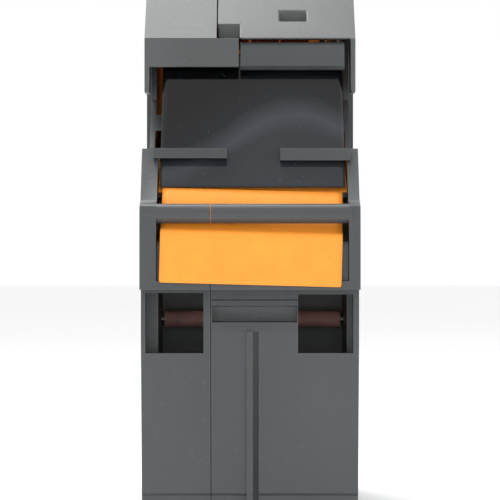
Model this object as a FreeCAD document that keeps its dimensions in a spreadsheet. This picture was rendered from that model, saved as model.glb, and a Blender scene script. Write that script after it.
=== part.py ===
import FreeCAD, Part
import Sketcher
import math
import os

# Price labelling gun. Millimetres, +Z up, nose towards -Y, +X to the right of someone facing the nose.
# It is drawn with Y = 0 at the front of the nose. The exported pieces are moved along Y so that the origin
# lies under the middle of the gun, on the flat face it rests on.

V = FreeCAD.Vector
doc = FreeCAD.newDocument("LabelGun")
dims = doc.addObject("Spreadsheet::Sheet", "Dims")
nodes = []


class Size:
    """A size with its value now and the expression that keeps it tied to the sheet."""

    def __init__(self, text, value):
        self.text = text
        self.value = value

    def __add__(self, other):
        other = size(other)
        return Size(f"({self.text} + {other.text})", self.value + other.value)

    def __sub__(self, other):
        other = size(other)
        return Size(f"({self.text} - {other.text})", self.value - other.value)

    def __mul__(self, other):
        other = size(other)
        return Size(f"({self.text} * {other.text})", self.value * other.value)

    def __truediv__(self, other):
        other = size(other)
        return Size(f"({self.text} / {other.text})", self.value / other.value)

    def __neg__(self):
        return Size(f"(0 - {self.text})", -self.value)

    def __radd__(self, other):
        return size(other) + self

    def __rsub__(self, other):
        return size(other) - self

    def __rmul__(self, other):
        return size(other) * self


def size(number):
    if isinstance(number, Size):
        return number
    return Size(f"({number:.6f})", float(number))


class Dimensions:
    """Driving dimensions: each is one aliased cell of the sheet."""

    def __init__(self, values):
        for row, (name, value) in enumerate(values.items(), start=1):
            dims.set(f"A{row}", name)
            dims.set(f"B{row}", str(value))
            dims.setAlias(f"B{row}", name)
            setattr(self, name, Size(f"Dims.{name}", float(value)))


D = Dimensions(
    {
        # body
        "nose_width": 30.0,
        "rear_width": 32.8,
        "seam_x": -5.4,
        "seam_gap": 0.1,
        "wall": 1.5,
        "side_wall": 1.3,
        "skirt": 0.7,
        "skirt_gap": 0.1,
        # nose and front face
        "nose_z": 42.0,
        "nose_top_z": 51.0,
        "cheek_y": 3.5,
        "cheek_z": 54.3,
        "cheek_top_y": 8.9,
        "cheek_top_z": 61.5,
        "bar_radius": 1.35,
        "bar_z": 52.35,
        "finger_y": 7.0,
        "finger_depth": 1.9,
        "front_y": 4.8,
        "foot_y": 8.4,
        "foot_z": 13.3,
        "foot_step": 0.5,
        # label path
        "web_width": 26.0,
        "web_x": 0.35,
        "web_gap": 0.1,
        "paper": 0.2,
        "peel_y": 6.0,
        "peel_z": 55.3,
        "bend_y": 22.0,
        "bend_z": 63.0,
        "bed_end_y": 67.5,
        "bed_end_z": 72.3,
        "bed_thickness": 1.6,
        # label roll
        "roll_y": 84.0,
        "roll_z": 113.0,
        "roll_radius": 23.5,
        "core_radius": 12.5,
        "roll_room": 3.0,
        # feed wheel and its drive
        "feed_y": 46.0,
        "feed_z": 34.0,
        "feed_radius": 12.7,
        "feed_width": 16.0,
        "pinion_teeth": 22,
        "sector_teeth": 100,
        "tooth_module": 1.0,
        "backlash": 0.34,
        "pinch_radius": 3.4,
        "turn_y": 35.2,
        "turn_z": 60.0,
        "turn_radius": 1.5,
        "guide_y": 24.0,
        "guide_z": 37.4,
        "guide_radius": 1.2,
        # trigger, in degrees from the line between the two axles
        "trigger_line": 31.6,
        "trigger_stroke": 16.0,
        "trigger_width": 22.0,
        "print_y": 112.0,
        "print_z": 78.0,
        "drive_y": 80.0,
        "drive_z": 71.5,
        "drive_pin": 2.0,
        # print head
        "arm_plate": 1.0,
        "head_y": 44.0,
        "wheel_radius": 4.0,
        "wheel_width": 4.1,
        "wheel_pitch": 4.5,
        "wheels": 4,
        "row_gap": 8.6,
        "ink_radius": 4.0,
        "ink_width": 19.0,
        # covers, hinge pins and the pawl
        "hood_y": 16.8,
        "hood_z": 77.4,
        "hood_seam": -4.7,
        "cover_pin_y": 117.0,
        "cover_pin_z": 112.0,
        "hood_pin_y": 47.6,
        "hood_pin_z": 101.0,
        "flap_pin_y": 15.0,
        "flap_pin_z": 4.5,
        "pawl_y": 54.0,
        "pawl_z": 49.0,
        # pins and fits
        "pin": 3.0,
        "small_pin": 2.0,
        "pin_fit": 0.05,
        "gap": 0.3,
    }
)

PLANE = {"x": "YZ_Plane", "y": "XZ_Plane", "z": "XY_Plane"}
HALF = D.nose_width / 2
GEAR_CENTRES = (D.pinion_teeth + D.sector_teeth) * D.tooth_module / 2
COS_LINE = Size(f"cos({D.trigger_line.text} * 1deg)", math.cos(math.radians(D.trigger_line.value)))
SIN_LINE = Size(f"sin({D.trigger_line.text} * 1deg)", math.sin(math.radians(D.trigger_line.value)))
REAR = D.rear_width / 2
WEB_LEFT = D.web_x - D.web_width / 2
WEB_RIGHT = D.web_x + D.web_width / 2
CHANNEL_LEFT = WEB_LEFT - D.web_gap
CHANNEL_RIGHT = WEB_RIGHT + D.web_gap
FRAME = HALF - D.skirt - D.skirt_gap
FRAME_IN = CHANNEL_RIGHT
REAR_IN = REAR - D.side_wall


def node(item, name):
    """Gives a finished sub-part its name and files it for export."""
    item.Label = name
    nodes.append(item)
    return item


def group(name, pieces):
    """Like pieces that share one node as separate solids."""
    item = doc.addObject("Part::Compound", name.title().replace("_", ""))
    item.Links = pieces
    return node(item, name)


def new_body(name):
    return doc.addObject("PartDesign::Body", name)


def start_sketch(body, axis, offset):
    sketch = body.newObject("Sketcher::SketchObject", body.Name + "Sketch")
    plane = [p for p in body.Origin.OriginFeatures if p.Role == PLANE[axis]][0]
    sketch.AttachmentSupport = [(plane, "")]
    sketch.MapMode = "FlatFace"
    offset = size(offset) if axis != "y" else -size(offset)
    sketch.setExpression("AttachmentOffset.Base.z", offset.text)
    return sketch


def pin_point(sketch, geometry, end, across, up):
    """Ties one sketch point to its two sizes."""
    for kind, value in (("DistanceX", across), ("DistanceY", up)):
        index = sketch.addConstraint(Sketcher.Constraint(kind, -1, 1, geometry, end, value.value))
        sketch.setExpression(f"Constraints[{index}]", value.text)


def polygon(sketch, points):
    points = [(size(a), size(b)) for a, b in points]
    count = len(points)
    for i in range(count):
        a, b = points[i], points[(i + 1) % count]
        line = Part.LineSegment(V(a[0].value, a[1].value, 0), V(b[0].value, b[1].value, 0))
        sketch.addGeometry(line, False)
    for i in range(count):
        sketch.addConstraint(Sketcher.Constraint("Coincident", i, 2, (i + 1) % count, 1))
        pin_point(sketch, i, 1, *points[i])


def circle(sketch, centre, radius):
    across, up, radius = size(centre[0]), size(centre[1]), size(radius)
    ring = Part.Circle(V(across.value, up.value, 0), V(0, 0, 1), radius.value)
    index = sketch.addGeometry(ring, False)
    pin_point(sketch, index, 3, across, up)
    bound = sketch.addConstraint(Sketcher.Constraint("Radius", index, radius.value))
    sketch.setExpression(f"Constraints[{bound}]", radius.text)


def extrude(body, kind, axis, low, high, draw):
    """Adds (Pad) or removes (Pocket) a prism between two planes across an axis."""
    low, high = size(low), size(high)
    start = low if axis != "y" else high
    sketch = start_sketch(body, axis, start)
    draw(sketch)
    feature = body.newObject("PartDesign::" + kind, body.Name + kind)
    feature.Profile = sketch
    feature.setExpression("Length", (high - low).text)
    if kind == "Pocket":
        feature.Reversed = True
    return feature


def pad(body, axis, low, high, points):
    return extrude(body, "Pad", axis, low, high, lambda sketch: polygon(sketch, points))


def pocket(body, axis, low, high, points):
    return extrude(body, "Pocket", axis, low, high, lambda sketch: polygon(sketch, points))


def disc(body, axis, low, high, centre, radius):
    return extrude(body, "Pad", axis, low, high, lambda sketch: circle(sketch, centre, radius))


def hole(body, axis, low, high, centre, radius):
    return extrude(body, "Pocket", axis, low, high, lambda sketch: circle(sketch, centre, radius))


def box(a0, a1, b0, b1):
    return [(a0, b0), (a1, b0), (a1, b1), (a0, b1)]


def rod(name, radius, x0, x1, y, z, bore=None):
    """A pin or roller lying across the gun."""
    x0, x1 = size(x0), size(x1)
    pieces = []
    for part_name, r in ((name, radius), (name + "Bore", bore)):
        if r is None:
            continue
        rod_part = doc.addObject("Part::Cylinder", part_name)
        rod_part.setExpression("Radius", size(r).text)
        rod_part.setExpression("Height", (x1 - x0).text)
        rod_part.Placement.Rotation = FreeCAD.Rotation(V(0, 1, 0), 90)
        for letter, value in zip("xyz", (x0, size(y), size(z))):
            rod_part.setExpression(f"Placement.Base.{letter}", value.text)
        pieces.append(rod_part)
    if bore is None:
        return pieces[0]
    return combine("Part::Cut", name + "Tube", pieces[0], pieces[1])


def combine(kind, name, base, tool):
    item = doc.addObject(kind, name)
    item.Base = base
    item.Tool = tool
    return item


def ring_points(y, z, radius, start, end, steps):
    """Points of an arc about an axle, by angle in degrees from +Y."""
    points = []
    for i in range(steps + 1):
        angle = math.radians(start + (end - start) * i / steps)
        points.append((y + radius * math.cos(angle), z + radius * math.sin(angle)))
    return points


# --- Body shells ------------------------------------------------------------------------------------

LOWER = [
    (D.foot_y + 2, 0),
    (D.foot_y, 2.5),
    (D.foot_y, D.foot_z),
    (D.foot_y - D.foot_step, D.foot_z + 0.4),
    (D.front_y, 36),
    (D.front_y, D.nose_z),
    (0, D.nose_z),
    (0, D.nose_top_z),
    (0.3, D.bar_z + 1.0),
    (D.cheek_y, D.cheek_z),
    (D.cheek_top_y - 0.6, D.cheek_top_z - 0.8),
    (D.cheek_top_y, D.cheek_top_z),
    (64, D.cheek_top_z),
    (64, 22),
    (64, 0),
]
UPPER = [
    (14.5, 60),
    (14.5, 61.8),
    (22.5, 69),
    (22.5, 79),
    (44.6, 99.4),
    (46, D.hood_pin_z + 1.2),
    (49.6, D.hood_pin_z + 1.4),
    (64, 104),
    (64, 60),
]
REAR_OUTLINE = [
    (61, 20),
    (61, 98),
    (54, 104),
    (54, D.roll_z),
    (115.5, D.roll_z),
    (119, 96),
    (128, 76),
    (143, 48),
    (171, 3),
    (170, 0),
    (138, 0),
    (135, 4),
    (118, 44),
    (112, 52),
    (88.5, 52),
    (68.5, 21),
    (67, 19),
    (67, 0),
    (61, 0),
]
LOWER_ROOM = [
    (D.foot_y + D.wall + 1, -1),
    (D.foot_y + D.wall, D.foot_z),
    (D.front_y + D.wall, 36),
    (D.front_y + D.wall, D.nose_z + 1.2),
    (-1, D.nose_z + 1.2),
    (-1, 53.0),
    (8.0, 62.5),
    (66, 62.5),
    (66, 20),
    (66 - 0.5, -1),
]
UPPER_ROOM = [
    (13.5, 59),
    (13.5, 62),
    (20, 66),
    (20, 84),
    (40, 106),
    (49.8, 106),
    (49.8, 100.8),
    (66, 101.8),
    (66, 59),
]
REAR_ROOM = [
    (62.5, 19),
    (62.5, 97.8),
    (55.4, 104.7),
    (55.4, D.roll_z + 1),
    (114, D.roll_z + 1),
    (117.5, 95.5),
    (126.5, 75.4),
    (141.5, 47.2),
    (168.4, 4),
    (167.5, 1.6),
    (140, 1.6),
    (136.5, 4.6),
    (119.5, 44.6),
    (113, 51),
    (108, 50),
    (87.2, 50),
    (87.6, 53.5),
    (67.0, 21.6),
    (65.6, 19.6),
    (65.6, -1),
    (62.5, -1),
]
TRIGGER_Y = D.feed_y + GEAR_CENTRES * COS_LINE
TRIGGER_Z = D.feed_z + GEAR_CENTRES * SIN_LINE
AXLES = {
    "trigger_axle": (TRIGGER_Y, TRIGGER_Z, D.pin / 2),
    "print_axle": (D.print_y, D.print_z, D.pin / 2),
    "feed_axle": (D.feed_y, D.feed_z, D.pin / 2),
    "roll_cover_pin": (D.cover_pin_y, D.cover_pin_z, D.small_pin / 2),
    "head_cover_pin": (D.hood_pin_y, D.hood_pin_z, D.small_pin / 2),
    "bottom_cover_pin": (D.flap_pin_y, D.flap_pin_z, D.small_pin / 2),
    "web_guide_pin": (D.guide_y, D.guide_z, D.guide_radius / 2),
    "pawl_pin": (D.pawl_y, D.pawl_z, D.small_pin / 2),
}
SCREWS = [(150, 22), (127.5, 66), (112, 97), (57, 98), (58, 14)]
SCREW_SHANK = 1.2
SCREW_HEAD = 2.4


def shell(name, side):
    """One half of the body: side -1 is the narrow half left of the seam, +1 the wide one."""
    body = new_body(name)
    seam = D.seam_x - D.seam_gap / 2 if side < 0 else D.seam_x + D.seam_gap / 2

    def span(outer):
        return (-outer, seam) if side < 0 else (seam, outer)

    pad(body, "x", *span(HALF), LOWER)
    pad(body, "x", *span(FRAME), UPPER)
    pad(body, "x", *span(REAR), REAR_OUTLINE)
    channel = (CHANNEL_LEFT, seam) if side < 0 else (seam, CHANNEL_RIGHT)
    pocket(body, "x", *channel, LOWER_ROOM)
    pocket(body, "x", *span(FRAME_IN), UPPER_ROOM)
    pocket(body, "x", *span(REAR_IN), REAR_ROOM)
    return body, seam, span


def front_details(body, seam, side):
    """The pair of front pockets, the cross bar, the fingers and the T-shaped rib."""
    if side < 0:
        pocket(body, "y", -1, D.front_y + D.wall + 2, box(-14.4, -6.4, 33.2, 41.5))
        disc(body, "x", -14.9, seam, (D.bar_radius, D.bar_z), D.bar_radius)
        pad(body, "x", -13.4, -3.2, box(D.finger_y, D.finger_y + D.finger_depth, 60.1, 61.5))
        pad(body, "x", -13.6, -12.6, box(D.finger_y + 1, D.finger_y + 5, 57.6, 60.2))
        return
    pocket(body, "y", -1, D.front_y + D.wall + 2, box(6.6, 14.2, 33.2, 41.3))
    disc(body, "x", seam, 13.9, (D.bar_radius, D.bar_z), D.bar_radius)
    disc(body, "x", 13.7, HALF - 0.1, (D.bar_radius + 0.3, D.bar_z), D.bar_radius)
    pad(body, "x", 4.2, 13.9, box(D.finger_y, D.finger_y + D.finger_depth, 59.8, 61.5))
    cove = [(4.0, 39.9), (5.75, 39.6), (5.95, 38.6), (5.6, 37.6), (4.0, 37.3)]
    pocket(body, "x", -5.2, 6.5, cove)
    pocket(body, "y", 0, D.front_y + 0.35, box(-5.2, 6.5, 40.45, 40.65))
    rib = [(D.foot_y + 0.4, 5), (D.foot_y - 0.5, 6), (D.foot_y - 0.9, D.foot_z), (4.45, 36.2), (5.4, 36.2)]
    pad(body, "x", -0.45, 0.35, rib)
    groove = [(D.foot_y - 1, 6), (D.foot_y - 1.5, D.foot_z), (4.2, 36.2), (5.5, 36.2), (9.3, D.foot_z), (9.3, 6)]
    pocket(body, "x", 0.45, 1.2, groove)


def bores(body, side, seam):
    """Seats for the axles, the screw towers and the openings in one shell."""
    outer = REAR + HALF
    span = (-outer, seam) if side < 0 else (seam, outer)
    tower = (-(REAR_IN + 0.4), seam) if side < 0 else (seam, REAR_IN + 0.4)
    low_tower = (-(REAR_IN + 0.4), -HALF + 1) if side < 0 else (HALF - 1, REAR_IN + 0.4)
    for y, z in SCREWS[:4]:
        disc(body, "x", *(tower if y > 60 and z != 98 else low_tower), (y, z), 3.0)
    for y, z in SCREWS:
        hole(body, "x", *span, (y, z), SCREW_SHANK + D.pin_fit)
    for axle_name, (y, z, radius) in AXLES.items():
        if side < 0 or axle_name != "pawl_pin":
            hole(body, "x", *span, (y, z), radius + D.pin_fit)
    if side > 0:
        for y, z in SCREWS:
            head = REAR if y > 61 else HALF if z < 60 else FRAME
            hole(body, "x", head - 0.9, outer, (y, z), SCREW_HEAD + 0.1)
        pocket(body, "x", 12, outer, box(40.2, 50.8, 74, 95.6))
    notch = box(D.cover_pin_y - 5, D.cover_pin_y + 4, D.cover_pin_z - 2.4, D.cover_pin_z + 2)
    pocket(body, "x", *((-6.3, seam) if side < 0 else (seam, 6.3)), notch)
    pocket(body, "y", 63, 69, box(*web_half(side), 19.5, 23.5))


def web_half(side):
    return (CHANNEL_LEFT, D.seam_x + 1) if side < 0 else (D.seam_x - 1, CHANNEL_RIGHT)


for shell_name, shell_side in (("left_housing", -1), ("right_housing", 1)):
    shell_body, shell_seam, shell_span = shell(shell_name, shell_side)
    front_details(shell_body, shell_seam, shell_side)
    bores(shell_body, shell_side, shell_seam)
    node(shell_body, shell_name)


# --- Axles, screws and covers -----------------------------------------------------------------------

HINGE_PINS = ("roll_cover_pin", "head_cover_pin", "bottom_cover_pin", "pawl_pin")
hinge_pins = []
for axle_name, (axle_y, axle_z, axle_radius) in AXLES.items():
    reach = REAR if axle_y.value > 61 else HALF if axle_z.value < 60 else FRAME
    far_end = 10.4 if axle_name == "pawl_pin" else reach - 0.2
    axle = rod(axle_name, axle_radius, -reach + 0.2, far_end, axle_y, axle_z)
    if axle_name in HINGE_PINS:
        hinge_pins.append(axle)
    else:
        node(axle, axle_name)
group("hinge_pins", hinge_pins)


def screw(index, y, z):
    """A self-tapping screw: a flat head sunk in the right shell and a shank through both."""
    head = REAR if y > 61 else HALF if z < 60 else FRAME
    body = new_body(f"Screw{index}")
    disc(body, "x", head - 0.9, head - 0.1, (y, z), SCREW_HEAD)
    disc(body, "x", -head + 1.0, head - 0.8, (y, z), SCREW_SHANK)
    pocket(body, "x", head - 0.5, head, box(y - 1.5, y + 1.5, z - 0.25, z + 0.25))
    pocket(body, "x", head - 0.5, head, box(y - 0.25, y + 0.25, z - 1.5, z + 1.5))
    return body


group("housing_screws", [screw(i, y, z) for i, (y, z) in enumerate(SCREWS)])

nose = new_body("NosePlate")
NOSE_OUTLINE = [
    (0.45, D.nose_z + 1.25),
    (2.0, D.nose_z + 1.25),
    (2.0, D.nose_top_z - 2.4),
    (0.9, D.nose_top_z - 2.4),
    (0.45, D.nose_top_z - 3.2),
]
pad(nose, "x", CHANNEL_LEFT, CHANNEL_RIGHT, NOSE_OUTLINE)
node(nose, "nose_plate")

lip = new_body("LipBar")
LIP_OUTLINE = [(16.8, 73.6), (17.3, 73.0), (18.0, 73.0), (18.0, 77.0), (17.6, 77.0), (16.9, 76.2)]
pad(lip, "x", -1.4, FRAME_IN, LIP_OUTLINE)
node(lip, "front_lip")

chamber = new_body("ChamberWall")
pad(chamber, "x", CHANNEL_LEFT, CHANNEL_RIGHT, box(27.5, 28.7, 20, 41.8))
node(chamber, "chamber_wall")

plate = new_body("PeelPlate")
PEEL_OUTLINE = [
    (D.peel_y, D.peel_z),
    (D.bend_y, D.bend_z),
    (D.bend_y, D.bend_z - 0.9),
    (D.peel_y + 0.4, D.peel_z - 0.7),
]
pad(plate, "x", CHANNEL_LEFT + 0.1, CHANNEL_RIGHT - 0.1, PEEL_OUTLINE)
node(plate, "peel_plate")

BED_SLOPE = (D.bed_end_z - D.bend_z) / (D.bed_end_y - D.bend_y)


def bed_height(y):
    return D.bend_z + BED_SLOPE * (size(y) - D.bend_y)


bed = new_body("PrintBed")
BED_OUTLINE = [
    (D.bend_y + 0.1, bed_height(D.bend_y + 0.1)),
    (D.bed_end_y, D.bed_end_z),
    (D.bed_end_y, D.bed_end_z - D.bed_thickness),
    (D.bend_y + 0.1, D.bend_z - D.bed_thickness),
]
pad(bed, "x", CHANNEL_LEFT + 0.05, CHANNEL_RIGHT - 0.05, BED_OUTLINE)
PAD_FRONT = D.head_y - 8.5
PAD_REAR = D.head_y + 8.5


def pad_outline(top, bottom):
    return [
        (PAD_FRONT, bed_height(PAD_FRONT) + top),
        (PAD_REAR, bed_height(PAD_REAR) + top),
        (PAD_REAR, bed_height(PAD_REAR) + bottom),
        (PAD_FRONT, bed_height(PAD_FRONT) + bottom),
    ]


pocket(bed, "x", -11, 11.7, pad_outline(1, -0.8))
node(bed, "print_bed")
cushion = new_body("PlatenPad")
pad(cushion, "x", -10.95, 11.65, pad_outline(0, -0.8))
node(cushion, "platen_pad")

film = new_body("GuardFilm")
FILM_OUTLINE = [
    (5.2, 56.3),
    (9.6, 59.4),
    (10.6, 61.0),
    (18.6, 73.4),
    (19.2, 75.6),
    (19.5, 75.5),
    (18.9, 73.3),
    (10.9, 60.85),
    (9.8, 59.1),
    (5.4, 56.0),
]
pad(film, "x", WEB_LEFT + 0.2, WEB_RIGHT - 0.2, FILM_OUTLINE)
node(film, "guard_film")

# Head cover: two halves that meet at a stepped joint and swing up together.
ROOF = [
    (D.hood_y, D.hood_z),
    (D.hood_pin_y - 2.2, D.hood_pin_z + 2.2),
    (D.hood_pin_y - 2.2, D.hood_pin_z + 0.2),
    (D.hood_y + 2.6, D.hood_z),
]
LEDGE = [
    (D.hood_y, D.hood_z + 0.1),
    (D.hood_y + 3, D.hood_z + 0.1),
    (D.hood_y + 3, D.hood_z - 1.2),
    (D.hood_y + 1.2, D.hood_z - 1.4),
    (D.hood_y + 1.2, 73.4),
    (D.hood_y, 73.4),
]
SKIRT = [
    (D.hood_y, D.hood_z),
    (D.hood_pin_y - 2.2, D.hood_pin_z + 2.2),
    (D.hood_pin_y + 1.6, D.hood_pin_z + 1.4),
    (D.hood_pin_y + 1.6, D.hood_pin_z - 1.4),
    (D.hood_pin_y - 3, D.hood_pin_z - 3),
    (30, 84),
    (25, 76),
    (21.5, 69.8),
    (D.hood_y, 69.8),
]
left_hood = new_body("HeadCoverLeft")
pad(left_hood, "x", -HALF, D.hood_seam - 0.05, ROOF)
pad(left_hood, "x", -HALF, -HALF + D.skirt, SKIRT)
pad(left_hood, "x", -HALF, -1.6, LEDGE)
hole(left_hood, "x", -HALF - 1, HALF + 1, (D.hood_pin_y, D.hood_pin_z), D.small_pin / 2 + 0.1)
node(left_hood, "head_cover_left")
right_hood = new_body("HeadCoverRight")
pad(right_hood, "x", D.hood_seam + 0.05, HALF, ROOF)
pad(right_hood, "x", HALF - D.skirt, HALF, SKIRT)
pocket(right_hood, "z", 60, 200, box(4.3, 8.0, D.hood_y + 3.2, D.hood_y + 4.9))
pocket(right_hood, "x", D.hood_seam, -1.55, [(0, 60), (D.hood_y + 2.6, 60), (D.hood_y + 2.6, 82), (0, 82)])
hole(right_hood, "x", -HALF - 1, HALF + 1, (D.hood_pin_y, D.hood_pin_z), D.small_pin / 2 + 0.1)
node(right_hood, "head_cover_right")

# Roll cover: a clear half drum over the label roll.
COVER_OUT = D.roll_radius + D.roll_room + 3.0
cover = new_body("RollCover")
ROLL_CENTRE = (D.roll_y, D.roll_z)
disc(cover, "x", -REAR, REAR, ROLL_CENTRE, COVER_OUT)
hole(cover, "x", -REAR_IN, REAR_IN, ROLL_CENTRE, COVER_OUT - D.side_wall)
BELOW_LID = box(D.roll_y - 40, D.roll_y + 40, D.roll_z - 40, D.roll_z + D.gap)
pocket(cover, "x", -REAR - 1, REAR + 1, BELOW_LID)
pad(cover, "x", -6, 6, box(D.cover_pin_y - 4.5, D.cover_pin_y + 1.8, D.cover_pin_z - 1.8, D.roll_z + 2.2))
hole(cover, "x", -7, 7, (D.cover_pin_y, D.cover_pin_z), D.small_pin / 2 + D.pin_fit)
node(cover, "roll_cover")

flap = new_body("BottomCover")
FLAP_LEFT = CHANNEL_LEFT + D.gap
FLAP_RIGHT = CHANNEL_RIGHT - D.gap
pad(flap, "x", FLAP_LEFT, FLAP_RIGHT, box(D.flap_pin_y - 1.5, 60, 0.6, 2.4))
pocket(flap, "x", -5.3, 5.3, box(57.4, 61, 0, 3))
pad(flap, "x", FLAP_LEFT, FLAP_RIGHT, box(D.flap_pin_y - 2, D.flap_pin_y + 2, 0.6, D.flap_pin_z + 2))
PINCH_Z = D.feed_z - D.feed_radius - D.paper - D.gap - D.pinch_radius
for low, high in ((-10.5, -9), (9.7, 11.2)):
    pad(flap, "x", low, high, [(D.feed_y - 5, 2), (D.feed_y + 5, 2), (D.feed_y + 2, PINCH_Z), (D.feed_y - 2, PINCH_Z)])
hole(flap, "x", -14, 14, (D.flap_pin_y, D.flap_pin_z), D.small_pin / 2 + D.pin_fit)
hole(flap, "x", -14, 14, (D.feed_y, PINCH_Z - 0.01), D.small_pin / 2)
node(flap, "bottom_cover")
node(rod("PinchPin", D.small_pin / 2, -11, 11.7, D.feed_y, PINCH_Z), "pinch_roller_pin")
node(
    rod("PinchRoller", D.pinch_radius, -8.6, 9.3, D.feed_y, PINCH_Z, D.small_pin / 2 + D.pin_fit), "pinch_roller"
)
latch = new_body("CoverLatch")
pad(latch, "x", -5, 5, box(60.5, 65.2, 0.6, 2.4))
pad(latch, "x", -5, 5, box(60.5, 62, 0.6, 4.6))
node(latch, "cover_latch")

# --- Label path -------------------------------------------------------------------------------------

HUB = D.core_radius - 1.2 - D.gap
hubs = []
for low, high in ((-REAR_IN, WEB_LEFT + 3), (WEB_RIGHT - 3, REAR_IN)):
    hub = new_body("RollHub")
    disc(hub, "x", low, high, (D.roll_y, D.roll_z), HUB)
    hole(hub, "x", low - 1, high + 1, (D.roll_y, D.roll_z), HUB - 2)
    hubs.append(hub)
group("roll_hubs", hubs)
ROLL_AT = (WEB_LEFT + 0.1, WEB_RIGHT - 0.1, D.roll_y, D.roll_z)
node(rod("LabelRoll", D.roll_radius, *ROLL_AT, D.core_radius), "label_roll")
node(rod("RollCore", D.core_radius, *ROLL_AT, D.core_radius - 1.2), "roll_core")
node(
    rod("GuideRoller", D.guide_radius, WEB_LEFT + 0.3, WEB_RIGHT - 0.3, D.guide_y, D.guide_z,
        D.guide_radius / 2 + D.pin_fit),
    "web_guide_roller",
)


def plain(name, shape):
    """A piece whose outline is worked out from the sheet's values in code."""
    item = doc.addObject("Part::Feature", name)
    item.Shape = shape
    return item


def prism(points, x0, x1):
    wire = Part.makePolygon([V(x0, y, z) for y, z in points] + [V(x0, *points[0])])
    return Part.Face(wire).extrude(V(x1 - x0, 0, 0))


def strip(points, thickness):
    """The outline of a thin sheet that follows a path on its left-hand side."""
    offset = []
    for i, (y, z) in enumerate(points):
        y0, z0 = points[max(i - 1, 0)]
        y1, z1 = points[min(i + 1, len(points) - 1)]
        length = math.hypot(y1 - y0, z1 - z0)
        offset.append((y - (z1 - z0) / length * thickness, z + (y1 - y0) / length * thickness))
    return points + offset[::-1]


def value(*sizes):
    return [s.value for s in sizes]


peel_y, peel_z, bend_y, bend_z, end_y, end_z = value(
    D.peel_y, D.peel_z, D.bend_y, D.bend_z, D.bed_end_y, D.bed_end_z
)
node(rod("TurningBar", D.turn_radius, CHANNEL_LEFT, CHANNEL_RIGHT, D.turn_y, D.turn_z), "turning_bar")
roll_y, roll_z, roll_r = value(D.roll_y, D.roll_z, D.roll_radius)
feed_y, feed_z, feed_r = value(D.feed_y, D.feed_z, D.feed_radius)
paper, web_l, web_r = D.paper.value, WEB_LEFT.value, WEB_RIGHT.value


def tangent(y, z, centre_y, centre_z, radius, side):
    """The angle in degrees at which a line from a point touches a circle."""
    distance = math.hypot(y - centre_y, z - centre_z)
    towards = math.degrees(math.atan2(z - centre_z, y - centre_y))
    return towards + side * math.degrees(math.acos(radius / distance))


leave = tangent(end_y, end_z + 0.3, roll_y, roll_z, roll_r + 0.4, -1)
supply = [(peel_y, peel_z + 0.04), (bend_y, bend_z + 0.04), (end_y - 1, end_z - 0.1), (end_y, end_z + 0.8)]
supply += ring_points(roll_y, roll_z, roll_r + 0.4, leave, leave - 12, 2)
node(plain("LabelWeb", prism(strip(supply, paper), web_l, web_r)), "label_web")

turn_y, turn_z, turn_r = value(D.turn_y, D.turn_z, D.turn_radius)
wrap = feed_r + 0.15
meet = tangent(turn_y + turn_r, turn_z, feed_y, feed_z, wrap, 1)
spent = [(peel_y + 0.9, peel_z - 1.5)] + ring_points(turn_y, turn_z, turn_r + 0.3, 105, -8, 6)
spent += ring_points(feed_y, feed_z, wrap, meet, 270, 10)
spent += [(feed_y + 24, feed_z - wrap)]
node(plain("BackingWeb", prism(strip(spent, -paper), web_l, web_r)), "backing_web")

bar_r, bar_z = value(D.bar_radius, D.bar_z)
nose_z, top_z = value(D.nose_z, D.nose_top_z)
tongue = [
    (peel_y - 0.35, peel_z + 0.2),
    (4.4, bar_z + 2.2),
    (3.6, bar_z + 1.3),
    (3.2, bar_z),
    (2.8, bar_z - 1.3),
    (1.3, top_z - 1.1),
    (0.2, top_z - 2.0),
    (-0.02, top_z - 3.2),
    (-0.1, nose_z + 0.5),
]
label = plain("DispensedLabel", prism(strip(tongue, -paper), web_l + 0.3, web_r - 0.3))
tilt = FreeCAD.Rotation(V(0, 1, 0), 1.5)
centre = V(D.web_x.value, 0, bar_z)
label.Placement = FreeCAD.Placement(centre - tilt.multVec(centre), tilt)
node(label, "dispensed_label")

# --- Trigger, feed drive ----------------------------------------------------------------------------

TRIGGER_OUTLINE = [
    (TRIGGER_Y - 7, TRIGGER_Z - 3),
    (TRIGGER_Y - 4, TRIGGER_Z + 4),
    (TRIGGER_Y + 4, TRIGGER_Z + 4),
    (TRIGGER_Y + 5.5, TRIGGER_Z - 4),
    (TRIGGER_Y + 3.5, TRIGGER_Z - 16),
    (TRIGGER_Y + 6.5, TRIGGER_Z - 30),
    (TRIGGER_Y + 12.5, TRIGGER_Z - 47),
    (TRIGGER_Y + 13, TRIGGER_Z - 53),
    (TRIGGER_Y + 9.5, TRIGGER_Z - 54),
    (TRIGGER_Y + 5, TRIGGER_Z - 49),
    (TRIGGER_Y - 2, TRIGGER_Z - 30),
    (TRIGGER_Y - 5.5, TRIGGER_Z - 16),
]
TRIGGER_ROOM = [
    (TRIGGER_Y - 9, TRIGGER_Z + 6),
    (TRIGGER_Y + 8, TRIGGER_Z + 6),
    (TRIGGER_Y + 8, TRIGGER_Z - 4),
    (TRIGGER_Y + 6, TRIGGER_Z - 16),
    (TRIGGER_Y + 9, TRIGGER_Z - 30),
    (TRIGGER_Y + 15, TRIGGER_Z - 47),
    (TRIGGER_Y + 9, TRIGGER_Z - 49),
    (TRIGGER_Y + 0.5, TRIGGER_Z - 30),
    (TRIGGER_Y - 3, TRIGGER_Z - 16),
    (TRIGGER_Y - 4.5, TRIGGER_Z - 6),
    (TRIGGER_Y - 9, TRIGGER_Z - 2),
]
T_HALF = D.trigger_width / 2
trigger = new_body("TriggerLever")
pad(trigger, "x", -T_HALF, T_HALF, TRIGGER_OUTLINE)
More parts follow.
